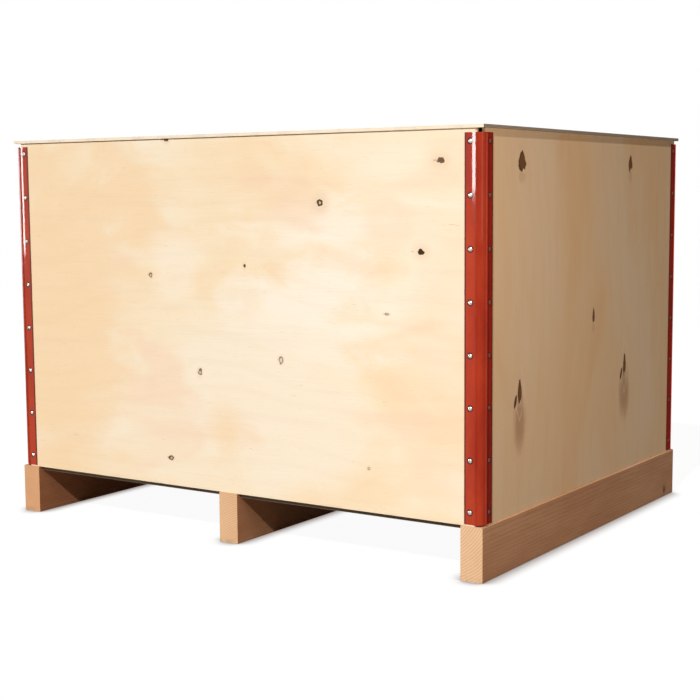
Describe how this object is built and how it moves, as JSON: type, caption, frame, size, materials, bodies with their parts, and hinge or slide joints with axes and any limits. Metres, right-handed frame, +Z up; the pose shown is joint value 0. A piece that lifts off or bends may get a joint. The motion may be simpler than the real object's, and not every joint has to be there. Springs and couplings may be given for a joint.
{
  "type": "folding wooden crate",
  "caption": "Folding plywood crate: a base on skids, a ring of walls joined by double-line corner hinges so that it folds flat, and a loose flat lid.",
  "frame": {"origin": "centre of the footprint, on the floor under the skids", "axes": "+X along the long walls, +Y from the front wall to the back wall along the skids, +Z up"},
  "size_m": [1.224, 0.984, 0.8645],
  "materials": {
    "softwood": "sawn softwood",
    "plywood": "sanded plywood",
    "lid_board": "sanded plywood",
    "hinge_profile": "glossy red-brown paint",
    "rivet_metal": "bright rivet heads",
    "screw_steel": "zinc plated"
  },
  "bodies": {
    "base": {"skid_left": "softwood", "skid_centre": "softwood", "skid_right": "softwood", "deck_panel": "plywood", "deck_screws": "screw_steel"},
    "lid": {"lid_panel": "lid_board"},
    "front_wall": {"front_panel": "plywood", "front_right_long_leaf": "hinge_profile", "front_right_long_rivets": "rivet_metal", "front_left_long_leaf": "hinge_profile", "front_left_long_rivets": "rivet_metal"},
    "right_wall": {"right_panel": "plywood", "front_right_short_leaf": "hinge_profile", "front_right_short_rivets": "rivet_metal", "back_right_short_leaf": "hinge_profile", "back_right_short_rivets": "rivet_metal"},
    "back_wall": {"back_panel": "plywood", "back_right_long_leaf": "hinge_profile", "back_right_long_rivets": "rivet_metal", "back_left_long_leaf": "hinge_profile", "back_left_long_rivets": "rivet_metal"},
    "left_wall": {"left_panel": "plywood", "front_left_short_leaf": "hinge_profile", "front_left_short_rivets": "rivet_metal", "back_left_short_leaf": "hinge_profile", "back_left_short_rivets": "rivet_metal"},
    "front_right_corner": {"front_right_knuckle": "hinge_profile"},
    "back_right_corner": {"back_right_knuckle": "hinge_profile"},
    "back_left_corner": {"back_left_knuckle": "hinge_profile"},
    "front_left_corner": {"front_left_knuckle": "hinge_profile"}
  },
  "joints": [
    {"name": "sleeve_lift", "type": "slide", "parent": "base", "child": "front_right_corner", "axis": [0, 0, 1], "range_m": [0, 0.8]},
    {"name": "lid_lift", "type": "slide", "parent": "front_right_corner", "child": "lid", "axis": [0, 0, 1], "range_m": [0, 0.3]},
    {"name": "sleeve_fold", "type": "hinge", "parent": "front_right_corner", "child": "front_wall", "pos_m": [0.59564, -0.4895, 0.483], "axis": [0, 0, 1], "range_deg": [-45, 45]},
    {"name": "right_wall_turn", "type": "hinge", "parent": "front_right_corner", "child": "right_wall", "pos_m": [0.6095, -0.47564, 0.483], "axis": [0, 0, 1], "range_deg": [-45, 45]},
    {"name": "front_left_corner_turn", "type": "hinge", "parent": "front_wall", "child": "front_left_corner", "pos_m": [-0.59564, -0.4895, 0.483], "axis": [0, 0, 1], "range_deg": [-45, 45]},
    {"name": "left_wall_turn", "type": "hinge", "parent": "front_left_corner", "child": "left_wall", "pos_m": [-0.6095, -0.47564, 0.483], "axis": [0, 0, 1], "range_deg": [-45, 45]},
    {"name": "back_left_corner_turn", "type": "hinge", "parent": "left_wall", "child": "back_left_corner", "pos_m": [-0.6095, 0.47564, 0.483], "axis": [0, 0, 1], "range_deg": [-45, 45]},
    {"name": "back_right_corner_turn", "type": "hinge", "parent": "right_wall", "child": "back_right_corner", "pos_m": [0.6095, 0.47564, 0.483], "axis": [0, 0, 1], "range_deg": [-45, 45]},
    {"name": "back_wall_turn", "type": "hinge", "parent": "back_right_corner", "child": "back_wall", "pos_m": [0.59564, 0.4895, 0.483], "axis": [0, 0, 1], "range_deg": [-45, 45]}
  ],
  "couplings": [
    {"joint": "right_wall_turn", "follows": "sleeve_fold", "ratio": -1},
    {"joint": "front_left_corner_turn", "follows": "sleeve_fold", "ratio": -1},
    {"joint": "left_wall_turn", "follows": "sleeve_fold", "ratio": -1},
    {"joint": "back_left_corner_turn", "follows": "sleeve_fold", "ratio": 1},
    {"joint": "back_right_corner_turn", "follows": "sleeve_fold", "ratio": 1},
    {"joint": "back_wall_turn", "follows": "sleeve_fold", "ratio": 1}
  ]
}
